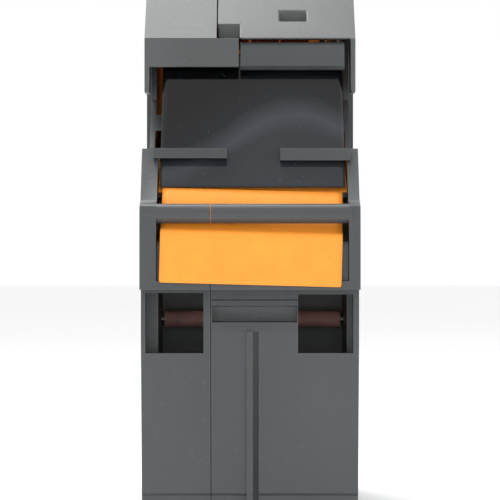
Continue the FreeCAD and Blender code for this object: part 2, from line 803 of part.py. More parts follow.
for low, high in ((-T_HALF, -T_HALF + 2), (T_HALF - 2, T_HALF)):
    disc(trigger, "x", low, high, (TRIGGER_Y, TRIGGER_Z), 5.5)
    lug = [
        (D.drive_y - 2.5, D.drive_z - 2),
        (TRIGGER_Y - 4, TRIGGER_Z - 4),
        (TRIGGER_Y - 2, TRIGGER_Z + 5),
        (D.drive_y - 1.5, D.drive_z + 2.5),
    ]
    pad(trigger, "x", low, high, lug)
pocket(trigger, "x", -T_HALF + 2, T_HALF - 2, TRIGGER_ROOM)
hole(trigger, "x", -T_HALF - 1, T_HALF + 1, (TRIGGER_Y, TRIGGER_Z), D.pin / 2 + D.pin_fit)
hole(trigger, "x", -T_HALF - 1, T_HALF + 1, (D.drive_y, D.drive_z), D.drive_pin / 2)
node(trigger, "trigger_lever")
grip = new_body("TriggerPad")
GRIP_PAD = [
    (TRIGGER_Y - 6.3, TRIGGER_Z - 17),
    (TRIGGER_Y - 5.4, TRIGGER_Z - 17),
    (TRIGGER_Y - 2.1, TRIGGER_Z - 30),
    (TRIGGER_Y + 4.1, TRIGGER_Z - 47),
    (TRIGGER_Y + 3.2, TRIGGER_Z - 47),
    (TRIGGER_Y - 3.1, TRIGGER_Z - 30),
]
pad(grip, "x", -9, 9, GRIP_PAD)
node(grip, "trigger_pad")
node(rod("DrivePin", D.drive_pin / 2, -14.8, 14.8, D.drive_y, D.drive_z), "drive_pin")

trigger_y, trigger_z, module, slack = value(TRIGGER_Y, TRIGGER_Z, D.tooth_module, D.backlash)
line = D.trigger_line.value
stroke = D.trigger_stroke.value


def teeth(centre_y, centre_z, count, first, last, phase):
    """Trapezoid teeth along a pitch circle; phase is the direction of one tooth's middle, in degrees."""
    pitch_r = count * module / 2
    step = 360 / count
    half_tooth = (math.pi * module / 2 - slack) / 2
    points = []
    for n in range(first, last + 1):
        for offset, level in ((-1.45, -1.2), (-0.62, 0.85), (0.62, 0.85), (1.45, -1.2)):
            r = pitch_r + level * module
            angle = math.radians(phase + n * step + math.degrees(offset * half_tooth / pitch_r))
            points.append((centre_y + r * math.cos(angle), centre_z + r * math.sin(angle)))
    return points


back = line + 180
rim = teeth(trigger_y, trigger_z, int(D.sector_teeth.value), -6, 1, back)
inner_r = D.sector_teeth.value * module / 2 - 5
rim_start, rim_end = back - 22, back + 5
rim += ring_points(trigger_y, trigger_z, inner_r, rim_end, rim_end - 2, 1)
sector_arm = [
    (trigger_y + inner_r * math.cos(math.radians(back - 9)), trigger_z + inner_r * math.sin(math.radians(back - 9))),
    (trigger_y + 1, trigger_z - 4.2),
    (trigger_y + 4, trigger_z + 4),
    (trigger_y - 3, trigger_z + 5),
    (
        trigger_y + inner_r * math.cos(math.radians(rim_start + 2)),
        trigger_z + inner_r * math.sin(math.radians(rim_start + 2)),
    ),
]
GEAR_LEFT = 11.2
sector_shape = prism(rim + sector_arm, GEAR_LEFT, GEAR_LEFT + 1.8)
trigger_bore = Part.makeCylinder(1.55, 30, V(0, trigger_y, trigger_z), V(1, 0, 0))
node(plain("FeedSector", sector_shape.cut(trigger_bore)), "feed_sector")

pinion_count = int(D.pinion_teeth.value)
pinion_phase = line + 180 / pinion_count
pinion_points = teeth(feed_y, feed_z, pinion_count, 0, pinion_count - 1, pinion_phase)
bore_r = D.pin.value / 2 + D.pin_fit.value
feed_bore = Part.makeCylinder(bore_r, 60, V(-30, feed_y, feed_z), V(1, 0, 0))
pinion_shape = prism(pinion_points, GEAR_LEFT - 0.6, GEAR_LEFT + 1.8)
node(plain("FeedPinion", pinion_shape.cut(feed_bore)), "feed_pinion")

WHEEL_LEFT = D.web_x - D.feed_width / 2
WHEEL_RIGHT = D.web_x + D.feed_width / 2
wheel = new_body("FeedWheel")
disc(wheel, "x", WHEEL_LEFT, WHEEL_RIGHT, (D.feed_y, D.feed_z), D.feed_radius)
for low, high in ((WHEEL_LEFT - 1, WHEEL_LEFT + 6), (WHEEL_RIGHT - 6, WHEEL_RIGHT + 1)):
    hole(wheel, "x", low, high, (D.feed_y, D.feed_z), D.feed_radius - 2.5)
disc(wheel, "x", WHEEL_LEFT, WHEEL_RIGHT, (D.feed_y, D.feed_z), 3.5)
hole(wheel, "x", WHEEL_LEFT - 1, WHEEL_RIGHT + 1, (D.feed_y, D.feed_z), D.pin / 2 + D.pin_fit)
node(wheel, "feed_wheel")


def saw_wheel(count, tip, root):
    points = []
    for i in range(count):
        for share, r in ((0, tip), (0.06, root), (0.98, tip)):
            angle = 2 * math.pi * (i + share) / count
            points.append((feed_y + r * math.cos(angle), feed_z + r * math.sin(angle)))
    return points


ratchet = prism(saw_wheel(15, 10.5, 8.9), -11.6, WHEEL_LEFT.value)
node(plain("FeedRatchet", ratchet.cut(feed_bore)), "feed_ratchet")
pawl = new_body("HoldingPawl")
PAWL_OUTLINE = [
    (D.pawl_y - 1.6, D.pawl_z + 1.6),
    (D.pawl_y + 1.7, D.pawl_z + 1.7),
    (D.pawl_y + 1.7, D.pawl_z - 1.7),
    (D.pawl_y - 3.0, D.pawl_z - 3.4),
    (D.pawl_y - 4.8, D.pawl_z - 3.9),
    (D.pawl_y - 4.6, D.pawl_z - 2.4),
]
pad(pawl, "x", -11.4, -9, PAWL_OUTLINE)
hole(pawl, "x", -12, -8, (D.pawl_y, D.pawl_z), D.small_pin / 2 + D.pin_fit)
node(pawl, "holding_pawl")

SPRING_TURNS = 5
SPRING_SIDES = 12
SPRING_R = 3.4
SPRING_HALF = 4.0
coil_points = []
for i in range(SPRING_TURNS * SPRING_SIDES + 1):
    turn = 2 * math.pi * i / SPRING_SIDES
    along = 2 * SPRING_HALF * i / (SPRING_TURNS * SPRING_SIDES) - SPRING_HALF
    coil_points.append(V(along, trigger_y + SPRING_R * math.cos(turn), trigger_z + SPRING_R * math.sin(turn)))
wire_section = Part.Wire(Part.makeCircle(0.35, coil_points[0], coil_points[1] - coil_points[0]))
spring = Part.makePolygon(coil_points).makePipeShell([wire_section], True, False, 1)
if spring.ShapeType != "Solid":
    spring = Part.Solid(spring)
node(plain("TriggerSpring", spring), "trigger_spring")

# --- Print arm, head and ink roller -----------------------------------------------------------------

ARM_REAR = [
    (D.print_y + 4, D.print_z - 4),
    (D.print_y + 4, D.print_z + 4),
    (D.print_y - 8, D.print_z + 5),
    (63.3, 83),
    (63.3, 79.5),
    (D.drive_y - 4.5, 74.5),
    (D.drive_y - 5, D.drive_z - 3.6),
    (D.drive_y + 5.5, D.drive_z - 3.6),
    (D.drive_y + 7, 74.3),
    (D.print_y - 6, D.print_z - 4.5),
]
ARM_FRONT = [(63.8, 79.7), (63.8, 82.8), (50, 89), (47, 96), (38, 94), (38, 88), (41, 84), (46, 82.5)]
DRIVE_SLOT = box(D.drive_y - 3.2, D.drive_y + 3.2, D.drive_z - 1.9, D.drive_z + 1.9)
INK_Y = 42.4
INK_Z = 91.5
INNER = D.arm_plate + 11.8
for side_name, side in (("left", -1), ("right", 1)):
    arm = new_body("PrintArm" + side_name)

    def both(low, high):
        return (-size(high), -size(low)) if side < 0 else (size(low), size(high))

    pad(arm, "x", *both(13.65, 13.65 + D.arm_plate), ARM_REAR)
    pad(arm, "x", *both(11.8, 13.65 + D.arm_plate), box(62.9, 64.4, 79.6, 82.9))
    pad(arm, "x", *both(11.8, INNER), ARM_FRONT)
    pocket(arm, "x", *both(13, 15), DRIVE_SLOT)
    hole(arm, "x", *both(13, 15), (D.print_y, D.print_z), D.pin / 2 + D.pin_fit)
    hole(arm, "x", *both(11, 13.5), (INK_Y, INK_Z), D.small_pin / 2)
    pocket(arm, "x", *both(11, 13.5), box(INK_Y + 2, INK_Y + 5.2, INK_Z - 2.2, INK_Z + 1.2))
    node(arm, "print_arm_" + side_name)
node(rod("InkPivot", D.small_pin / 2, -INNER, INNER, INK_Y, INK_Z), "ink_arm_pin")

head_y, lift = D.head_y.value, stroke * 0.5
bed_z = bed_height(D.head_y).value
normal = (-BED_SLOPE.value / math.hypot(1, BED_SLOPE.value), 1 / math.hypot(1, BED_SLOPE.value))
wheel_r = D.wheel_radius.value
arm_y, arm_z = value(D.print_y, D.print_z)


def raised(y, z):
    """Where a point of the print head stands at rest, given its place when the head is down."""
    angle = math.radians(-lift)
    y, z = y - arm_y, z - arm_z
    return (
        arm_y + y * math.cos(angle) - z * math.sin(angle),
        arm_z + y * math.sin(angle) + z * math.cos(angle),
    )


def head_point(forward, up):
    """A point of the print head at rest, by its distance along and above the print bed."""
    along = (-normal[1], normal[0])
    y = head_y + forward * along[0] + up * normal[0]
    z = bed_z + forward * along[1] + up * normal[1]
    return raised(y, z)


TYPE_HIGH = 0.45
centre_up = wheel_r + TYPE_HIGH + paper + 0.35
rows = {"front": head_point(D.row_gap.value / 2, centre_up), "rear": head_point(-D.row_gap.value / 2, centre_up)}
FRAME_HALF = 10.0
frame_outline = [head_point(a, b) for a, b in ((9.4, 3), (9.4, 10), (6.5, 15), (-9.4, 17.5), (-9.4, 3))]
frame_room = [head_point(a, b) for a, b in ((10.5, 2), (10.5, 13.8), (-10.5, 16.2), (-10.5, 2))]
head = prism(frame_outline, -FRAME_HALF, FRAME_HALF).cut(prism(frame_room, -FRAME_HALF + 0.9, FRAME_HALF - 0.9))
pivot_hole = Part.makeCylinder(D.small_pin.value / 2, 30, V(-15, INK_Y, INK_Z), V(1, 0, 0))
head = head.cut(pivot_hole)
for ear in (-1, 1):
    ear_y, ear_z = head_point(-7.5, 12)
    head = head.fuse(
        Part.makeCylinder(1.6, 1.78, V(ear * FRAME_HALF - (1.78 if ear < 0 else 0), ear_y, ear_z), V(1, 0, 0))
    )
SHAFT_R = 1.2
for row_y, row_z in rows.values():
    head = head.cut(Part.makeCylinder(SHAFT_R, 30, V(-15, row_y, row_z), V(1, 0, 0)))
knob_y, knob_z = head_point(-3.5, 13.5)
head = head.cut(Part.makeCylinder(1.05, 40, V(-20, knob_y, knob_z), V(1, 0, 0)))
node(plain("HeadFrame", head.removeSplitter()), "head_frame")

type_shafts = []
count = int(D.wheels.value)
pitch, wide = value(D.wheel_pitch, D.wheel_width)
for row_name, (row_y, row_z) in rows.items():
    shaft = Part.makeCylinder(SHAFT_R, 2 * FRAME_HALF - 0.1, V(-FRAME_HALF + 0.05, row_y, row_z), V(1, 0, 0))
    type_shafts.append(plain("TypeShaft" + row_name, shaft))
    for n in range(count):
        left = (n - (count - 1) / 2) * pitch - wide / 2
        facing = math.degrees(math.atan2(head_point(0, 0)[1] - head_point(0, 1)[1],
                                         head_point(0, 0)[0] - head_point(0, 1)[0]))
        rim_points = ring_points(row_y, row_z, wheel_r, facing - 18, facing + 342, 10)[:-1]
        type_wheel = prism(rim_points, left, left + wide)
        for face in range(10):
            turn = math.radians(facing + 36 * face)
            out = (math.cos(turn), math.sin(turn))
            side_way = (-out[1], out[0])
            flat = wheel_r * math.cos(math.radians(18))
            corners = [(flat - 0.3, -0.8), (flat + TYPE_HIGH, -0.8), (flat + TYPE_HIGH, 0.8), (flat - 0.3, 0.8)]
            points = [
                (row_y + out[0] * a + side_way[0] * b, row_z + out[1] * a + side_way[1] * b) for a, b in corners
            ]
            type_wheel = type_wheel.fuse(prism(points, left + 0.7, left + wide - 0.7))
        type_wheel = type_wheel.cut(
            Part.makeCylinder(SHAFT_R + 0.05, wide + 2, V(left - 1, row_y, row_z), V(1, 0, 0))
        )
        node(plain(f"TypeWheel{row_name}{n + 1}", type_wheel.removeSplitter()), f"type_wheel_{row_name}_{n + 1}")

group("type_shafts", type_shafts)

INK_REACH = 19.4
ink_links = []
down = (head_point(0, 0)[0] - head_point(0, 1)[0], head_point(0, 0)[1] - head_point(0, 1)[1])
lean = math.radians(-5)
swing = (
    down[0] * math.cos(lean) - down[1] * math.sin(lean),
    down[0] * math.sin(lean) + down[1] * math.cos(lean),
)
ink_y, ink_z = INK_Y + INK_REACH * swing[0], INK_Z + INK_REACH * swing[1]
ink_r = D.ink_radius.value
across = (-swing[1] * 2, swing[0] * 2)
for side_name, low in (("left", -11.4), ("right", 10.5)):
    link = prism(
        [
            (INK_Y - across[0], INK_Z - across[1]),
            (INK_Y + across[0], INK_Z + across[1]),
            (ink_y + across[0], ink_z + across[1]),
            (ink_y - across[0], ink_z - across[1]),
        ],
        low,
        low + 0.9,
    )
    for y, z in ((INK_Y, INK_Z), (ink_y, ink_z)):
        link = link.fuse(Part.makeCylinder(2.0, 0.9, V(low, y, z), V(1, 0, 0)))
    link = link.cut(Part.makeCylinder(1.05, 2, V(low - 0.5, INK_Y, INK_Z), V(1, 0, 0)))
    link = link.cut(Part.makeCylinder(0.8, 2, V(low - 0.5, ink_y, ink_z), V(1, 0, 0)))
    ink_links.append(plain("InkLink" + side_name, link.removeSplitter()))
group("ink_arms", ink_links)
node(plain("InkAxle", Part.makeCylinder(0.8, 22.8, V(-11.4, ink_y, ink_z), V(1, 0, 0))), "ink_axle")
ink_w = D.ink_width.value
for ink_name, outer, inner, half in (("ink_roller", ink_r, 2.2, ink_w / 2), ("ink_roller_core", 2.2, 0.85, 9.9)):
    tube = Part.makeCylinder(outer, 2 * half, V(-half, ink_y, ink_z), V(1, 0, 0))
    tube = tube.cut(Part.makeCylinder(inner, 2 * half + 2, V(-half - 1, ink_y, ink_z), V(1, 0, 0)))
    node(plain(ink_name.title().replace("_", ""), tube), ink_name)

knob = Part.makeCylinder(4.2, 1.6, V(13.05, knob_y, knob_z), V(1, 0, 0))
knob = knob.fuse(prism([(knob_y - 4, knob_z - 0.6), (knob_y + 4, knob_z - 0.6), (knob_y + 4, knob_z + 0.6),
                        (knob_y - 4, knob_z + 0.6)], 14.6, 14.95))
knob = knob.cut(Part.makeCylinder(1.0, 40, V(-20, knob_y, knob_z), V(1, 0, 0)))
node(plain("SettingKnob", knob.removeSplitter()), "setting_knob")
node(plain("KnobShaft", Part.makeCylinder(1.0, 22, V(-8.0, knob_y, knob_z), V(1, 0, 0))), "knob_shaft")

# --- Handle -----------------------------------------------------------------------------------------

panels = []
for low, high in ((-REAR - 0.8, -REAR), (REAR, REAR + 0.8)):
    panel = new_body("HandlePanel")
    pad(panel, "x", low, high, [(128.5, 62), (135, 60), (163, 10), (146, 8), (124, 52)])
    panels.append(panel)
group("handle_grips", panels)

doc.recompute()
for item in doc.Objects:
    if "Invalid" in item.State or "Error" in item.State:
        raise RuntimeError(f"{item.Name} failed: {item.State}")
for item in nodes:
    if item.Shape.isNull() or not item.Shape.isValid():
        raise RuntimeError(f"{item.Label} has no valid shape")

# --- Export -----------------------------------------------------------------------------------------

front = min(item.Shape.BoundBox.YMin for item in nodes)
rear = max(item.Shape.BoundBox.YMax for item in nodes)
to_origin = V(0, -(front + rear) / 2, 0)
os.makedirs("parts", exist_ok=True)
for item in nodes:
    placed = item.Shape.copy()
    placed.translate(to_origin)
    placed.exportStep(f"parts/{item.Label}.step")
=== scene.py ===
import math

import bmesh
import bpy
from mathutils import Matrix, Vector


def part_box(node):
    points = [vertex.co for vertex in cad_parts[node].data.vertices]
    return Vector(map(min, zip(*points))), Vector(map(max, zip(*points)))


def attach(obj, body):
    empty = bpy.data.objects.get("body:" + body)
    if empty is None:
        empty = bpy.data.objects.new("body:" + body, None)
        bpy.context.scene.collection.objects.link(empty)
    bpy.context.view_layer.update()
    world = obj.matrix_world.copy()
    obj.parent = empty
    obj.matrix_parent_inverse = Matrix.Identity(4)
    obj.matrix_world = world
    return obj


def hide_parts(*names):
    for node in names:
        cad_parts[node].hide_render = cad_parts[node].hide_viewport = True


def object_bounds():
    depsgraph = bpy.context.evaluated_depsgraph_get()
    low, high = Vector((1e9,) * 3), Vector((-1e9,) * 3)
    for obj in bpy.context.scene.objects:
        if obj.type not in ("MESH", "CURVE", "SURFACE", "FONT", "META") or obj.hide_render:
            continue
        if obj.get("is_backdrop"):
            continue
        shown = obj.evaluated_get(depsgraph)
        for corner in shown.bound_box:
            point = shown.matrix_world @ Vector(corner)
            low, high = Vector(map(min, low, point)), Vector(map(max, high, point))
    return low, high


bl_info = {
    "name": "Price Labeling Gun",
    "version": (1, 0, 0),
    "blender": (4, 5, 0),
    "location": "View3D > Sidebar > Label Gun",
    "description": "Finishes, printed label, film guard and studio for a price labeling gun",
    "category": "Add Mesh",
}

MM = 0.001
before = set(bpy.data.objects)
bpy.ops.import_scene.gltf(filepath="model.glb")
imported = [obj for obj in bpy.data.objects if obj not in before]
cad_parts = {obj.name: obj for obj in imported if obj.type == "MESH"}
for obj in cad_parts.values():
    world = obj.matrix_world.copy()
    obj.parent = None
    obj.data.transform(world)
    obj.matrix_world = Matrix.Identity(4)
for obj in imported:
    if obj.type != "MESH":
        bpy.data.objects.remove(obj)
CAD_LOW, CAD_HIGH = (Vector(corner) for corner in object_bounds())


# --- Sizes and colours ------------------------------------------------------------------------------


def colour_setting(name, description, default):
    return bpy.props.FloatVectorProperty(
        name=name, description=description, default=default, size=3, subtype="COLOR"
    )


class GunStageSettings(bpy.types.PropertyGroup):
    """Camera, floor and lights"""

    distance: bpy.props.FloatProperty(
        name="Camera distance",
        description="From the front of the nose to the camera",
        default=0.350,
        min=0.05,
        unit="LENGTH",
    )
    aim_height: bpy.props.FloatProperty(
        name="Camera height", description="Height of the level camera", default=0.0474, unit="LENGTH"
    )
    lens: bpy.props.FloatProperty(
        name="Lens", description="Focal length in millimetres", default=186.1, min=20
    )
    floor_color: colour_setting("Floor", "Floor and backdrop colour", (0.93, 0.93, 0.93))
    key_power: bpy.props.FloatProperty(
        name="Key light", description="Power of the key light", default=2.6, unit="POWER"
    )
    fill_power: bpy.props.FloatProperty(
        name="Fill light", description="Power of the side fills", default=0.25, unit="POWER"
    )
    room_light: bpy.props.FloatProperty(
        name="Room light", description="Strength of the even white surroundings", default=1.0, min=0
    )


class GunFinishSettings(bpy.types.PropertyGroup):
    """Colours of the plastics, the film and the papers"""

    body_color: colour_setting("Body", "Moulded grey of the shells", (0.060, 0.066, 0.068))
    # The cover's grey is the body grey painted lighter, as painted light on the cover.
    cover_painted_light_color: colour_setting("Head cover", "Lighter grey of the cover", (0.082, 0.089, 0.089))
    black_color: colour_setting("Inner plastic", "Black working parts", (0.022, 0.022, 0.024))
    film_color: colour_setting("Film", "Smoked film guard", (0.0045, 0.005, 0.006))
    label_color: colour_setting("Labels", "Bright label stock", (1.0, 0.33, 0.028))
    edge_bevel: bpy.props.FloatProperty(
        name="Edge rounding", description="Width of the small moulded edges", default=0.25 * MM, unit="LENGTH"
    )


class GunLabelSettings(bpy.types.PropertyGroup):
    """Label, roll and grip details"""

    label_thickness: bpy.props.FloatProperty(
        name="Label thickness", description="Thickness of one label", default=0.1 * MM, unit="LENGTH"
    )
    corner_radius: bpy.props.FloatProperty(
        name="Label corner", description="Die-cut corner radius", default=0.15 * MM, unit="LENGTH"
    )
    roll_layers: bpy.props.IntProperty(
        name="Roll layers", description="Wound layers that show on the roll's ends", default=26, min=4
    )
    grip_ribs: bpy.props.IntProperty(
        name="Grip ribs", description="Raised ribs on each handle panel", default=15, min=3
    )


# --- Materials --------------------------------------------------------------------------------------


def new_material(name):
    """A new material, its node tree, its Principled shader and its object coordinates."""
    material = bpy.data.materials.new(name)
    material.use_nodes = True
    tree = material.node_tree
    shader = tree.nodes["Principled BSDF"]
    coordinates = tree.nodes.new("ShaderNodeTexCoord").outputs["Object"]
    return material, tree, shader, coordinates


def noise(tree, coordinates, scale, detail=4.0, stretch=(1, 1, 1)):
    mapping = tree.nodes.new("ShaderNodeMapping")
    mapping.inputs["Scale"].default_value = stretch
    tree.links.new(coordinates, mapping.inputs["Vector"])
    texture = tree.nodes.new("ShaderNodeTexNoise")
    texture.inputs["Scale"].default_value = scale
    texture.inputs["Detail"].default_value = detail
    tree.links.new(mapping.outputs["Vector"], texture.inputs["Vector"])
    return texture.outputs["Fac"]


def ramp(tree, factor, stops):
    node = tree.nodes.new("ShaderNodeValToRGB")
    elements = node.color_ramp.elements
    while len(elements) < len(stops):
        elements.new(0.5)
    for element, (place, colour) in zip(elements, stops):
        element.position = place
        element.color = (*colour, 1)
    tree.links.new(factor, node.inputs["Fac"])
    return node.outputs["Color"]


def mix(tree, factor, first, second):
    node = tree.nodes.new("ShaderNodeMix")
    node.data_type = "RGBA"
    tree.links.new(factor, node.inputs["Factor"])
    tree.links.new(first, node.inputs["A"])
    if isinstance(second, bpy.types.NodeSocket):
        tree.links.new(second, node.inputs["B"])
    else:
        node.inputs["B"].default_value = (*second, 1)
    return node.outputs["Result"]


def scaled(colour, amount):
    return tuple(min(1.0, channel * amount) for channel in colour)


def rough_from(tree, factor, shader, low, high):
    span = tree.nodes.new("ShaderNodeMapRange")
    span.inputs["To Min"].default_value = low
    span.inputs["To Max"].default_value = high
    tree.links.new(factor, span.inputs["Value"])
    tree.links.new(span.outputs["Result"], shader.inputs["Roughness"])


def bump_from(tree, height, shader, depth, strength=0.6):
    bump = tree.nodes.new("ShaderNodeBump")
    bump.inputs["Distance"].default_value = depth
    bump.inputs["Strength"].default_value = strength
    tree.links.new(height, bump.inputs["Height"])
    tree.links.new(bump.outputs["Normal"], shader.inputs["Normal"])


def worn_and_highlit(tree, coordinates, colour, pale_edge_colour):
    """Rubbed colour and a painted edge highlight, in patches along the edges."""
    rounded = tree.nodes.new("ShaderNodeBevel")
    rounded.samples = 4
    rounded.inputs["Radius"].default_value = 0.45 * MM
    geometry = tree.nodes.new("ShaderNodeNewGeometry")
    turn = tree.nodes.new("ShaderNodeVectorMath")
    turn.operation = "DOT_PRODUCT"
    tree.links.new(rounded.outputs["Normal"], turn.inputs[0])
    tree.links.new(geometry.outputs["Normal"], turn.inputs[1])
    edge = tree.nodes.new("ShaderNodeMapRange")
    edge.inputs["From Min"].default_value = 0.99
    edge.inputs["From Max"].default_value = 0.82
    tree.links.new(turn.outputs["Value"], edge.inputs["Value"])
    # Edges turn paler in noisy patches: partly rubbed wear, partly a painted highlight.
    patches = ramp(tree, noise(tree, coordinates, 260, 4), [(0.38, (0.15, 0.15, 0.15)), (0.62, (1, 1, 1))])
    rubbed = tree.nodes.new("ShaderNodeMath")
    rubbed.operation = "MULTIPLY"
    tree.links.new(edge.outputs["Result"], rubbed.inputs[0])
    tree.links.new(patches, rubbed.inputs[1])
    return mix(tree, rubbed.outputs["Value"], colour, pale_edge_colour)


def moulded_plastic(name, colour, rough=0.42, grain=2600, depth=0.03 * MM, wear_and_highlight=1.35, spread=0.10):
    """Moulded plastic: faint flow streaks, fine spark grain, edges rubbed paler with a painted highlight."""
    material, tree, shader, coordinates = new_material(name)
    cloud = noise(tree, coordinates, 70, 5, (1, 1, 0.5))
    base = ramp(tree, cloud, [(0.3, scaled(colour, 1 - spread)), (0.7, scaled(colour, 1 + spread))])
    dust = noise(tree, coordinates, 900, 2)
    speck = ramp(tree, dust, [(0.66, (0, 0, 0)), (0.74, (1, 1, 1))])
    base = mix(tree, speck, base, scaled(colour, 1.16))
    base = worn_and_highlit(tree, coordinates, base, scaled(colour, wear_and_highlight))
    tree.links.new(base, shader.inputs["Base Color"])
    rough_from(tree, cloud, shader, rough - 0.07, rough + 0.08)
    bump_from(tree, noise(tree, coordinates, grain, 3), shader, depth)
    return material


def drawn_metal(name, colour, rough=0.3):
    """Drawn or ground metal: long streaks, duller patches and bright edges, rubbed and partly a painted
    highlight.
    """
    material, tree, shader, coordinates = new_material(name)
    streaks = noise(tree, coordinates, 900, 3, (0.04, 1, 1))
    base = ramp(tree, streaks, [(0.3, scaled(colour, 0.55)), (0.7, scaled(colour, 0.85))])
    tree.links.new(worn_and_highlit(tree, coordinates, base, scaled(colour, 1.1)), shader.inputs["Base Color"])
    shader.inputs["Metallic"].default_value = 1.0
    rough_from(tree, streaks, shader, rough - 0.08, rough + 0.12)
    bump_from(tree, streaks, shader, 0.01 * MM)
    return material


def moulded_rubber(name, colour, rough=0.75, pebble=1400):
    """Pebbled rubber with a dusty bloom, partly a painted highlight, on its high points."""
    material, tree, shader, coordinates = new_material(name)
    cells = tree.nodes.new("ShaderNodeTexVoronoi")
    cells.inputs["Scale"].default_value = pebble
    tree.links.new(coordinates, cells.inputs["Vector"])
    cloud = noise(tree, coordinates, 160, 4)
    base = ramp(tree, cloud, [(0.35, scaled(colour, 0.8)), (0.7, scaled(colour, 1.3))])
    tree.links.new(worn_and_highlit(tree, coordinates, base, scaled(colour, 2.2)), shader.inputs["Base Color"])
    rough_from(tree, cloud, shader, rough - 0.1, rough + 0.1)
    bump_from(tree, cells.outputs["Distance"], shader, 0.06 * MM)
    return material


def paper(name, colour, rough=0.55, painted_glow=0.0):
    """Coated label paper: fibres, slight mottling, a soft surface and, when asked, a painted glow in its own
    colour.
    """
    material, tree, shader, coordinates = new_material(name)
    mottle = noise(tree, coordinates, 350, 5)
    base = ramp(tree, mottle, [(0.3, scaled(colour, 0.94)), (0.7, scaled(colour, 1.04))])
    fibres = noise(tree, coordinates, 2200, 4, (0.35, 1, 1))
    streak = ramp(tree, fibres, [(0.62, (0, 0, 0)), (0.78, (1, 1, 1))])
    base = mix(tree, streak, base, scaled(colour, 0.88))
    tree.links.new(base, shader.inputs["Base Color"])
    # Painted glow: the paper gives off light of its own colour, though it is no lamp.
    if painted_glow:
        tree.links.new(base, shader.inputs["Emission Color"])
        shader.inputs["Emission Strength"].default_value = painted_glow
    rough_from(tree, mottle, shader, rough - 0.06, rough + 0.08)
    bump_from(tree, fibres, shader, 0.012 * MM)
    return material


def math_node(tree, operation, *values):
    """A Math node fed by numbers or sockets, and its output."""
    node = tree.nodes.new("ShaderNodeMath")
    node.operation = operation
    for socket, value in zip(node.inputs, values):
        if isinstance(value, bpy.types.NodeSocket):
            tree.links.new(value, socket)
        else:
            socket.default_value = value
    return node.outputs["Value"]


def smoked_film(name, colour, low, high):
    """Glossy smoked film with a painted curved sheen: near black above it, a painted bluish reflection below
    it, with dust.
    """
    material, tree, shader, coordinates = new_material(name)
    place = tree.nodes.new("ShaderNodeSeparateXYZ")
    tree.links.new(coordinates, place.inputs["Vector"])
    # Painted sheen: a wavy line across the film, with a painted highlight along it and a painted reflection
    # below it.
    wide = high[0] - low[0]
    tall = high[2] - low[2]
    crest = low[0] + 0.74 * wide
    phase = math_node(tree, "MULTIPLY_ADD", place.outputs["X"], math.pi / (0.76 * wide), 0.0)
    phase = math_node(tree, "SUBTRACT", phase, crest * math.pi / (0.76 * wide))
    swell = math_node(tree, "COSINE", phase)
    painted_sheen_line = math_node(tree, "MULTIPLY_ADD", swell, 0.22 * tall, low[2] + 0.30 * tall)
    above = math_node(tree, "SUBTRACT", place.outputs["Z"], painted_sheen_line)
    ripple = noise(tree, coordinates, 160, 3, (1, 1, 2))
    above = math_node(tree, "ADD", above, math_node(tree, "MULTIPLY", ripple, 0.05 * tall))
    span = tree.nodes.new("ShaderNodeMapRange")
    span.inputs["From Min"].default_value = -0.50 * tall
    span.inputs["From Max"].default_value = 0.50 * tall
    tree.links.new(above, span.inputs["Value"])
    # Painted reflection below the line, a painted highlight just above it, then darker towards the top.
    stops = [(0.0, scaled(colour, 6)), (0.42, scaled(colour, 5)), (0.53, scaled(colour, 8.5))]
    stops += [(0.70, scaled(colour, 1.5)), (1.0, scaled(colour, 0.4))]
    base = ramp(tree, span.outputs["Result"], stops)
    dust = noise(tree, coordinates, 1500, 2)
    speck = ramp(tree, dust, [(0.72, (0, 0, 0)), (0.80, (1, 1, 1))])
    base = mix(tree, speck, base, scaled(colour, 16))
    tree.links.new(base, shader.inputs["Base Color"])
    shader.inputs["Specular IOR Level"].default_value = 0.32
    haze = noise(tree, coordinates, 120, 4)
    rough_from(tree, haze, shader, 0.05, 0.12)
    bump_from(tree, noise(tree, coordinates, 90, 2), shader, 0.05 * MM, 0.3)
    return material


def clear_plastic(name, colour):
    """Tinted see-through plastic with a little moulded haze."""
    material, tree, shader, coordinates = new_material(name)
    haze = noise(tree, coordinates, 90, 4)
    base = ramp(tree, haze, [(0.3, scaled(colour, 0.92)), (0.7, scaled(colour, 1.08))])
    tree.links.new(base, shader.inputs["Base Color"])
    shader.inputs["Transmission Weight"].default_value = 0.85
    shader.inputs["IOR"].default_value = 1.49
    rough_from(tree, haze, shader, 0.05, 0.16)
    bump_from(tree, noise(tree, coordinates, 400, 3), shader, 0.01 * MM)
    return material


def ink_felt(name, colour):
    """Soaked felt: matted fibres, darker where wet."""
    material, tree, shader, coordinates = new_material(name)
    wet = noise(tree, coordinates, 260, 5)
    base = ramp(tree, wet, [(0.35, scaled(colour, 0.6)), (0.7, scaled(colour, 1.7))])
    tree.links.new(base, shader.inputs["Base Color"])
    shader.inputs["Sheen Weight"].default_value = 0.3
    rough_from(tree, wet, shader, 0.55, 0.9)
    bump_from(tree, noise(tree, coordinates, 3200, 6), shader, 0.12 * MM, 0.9)
    return material


MATERIALS = {}


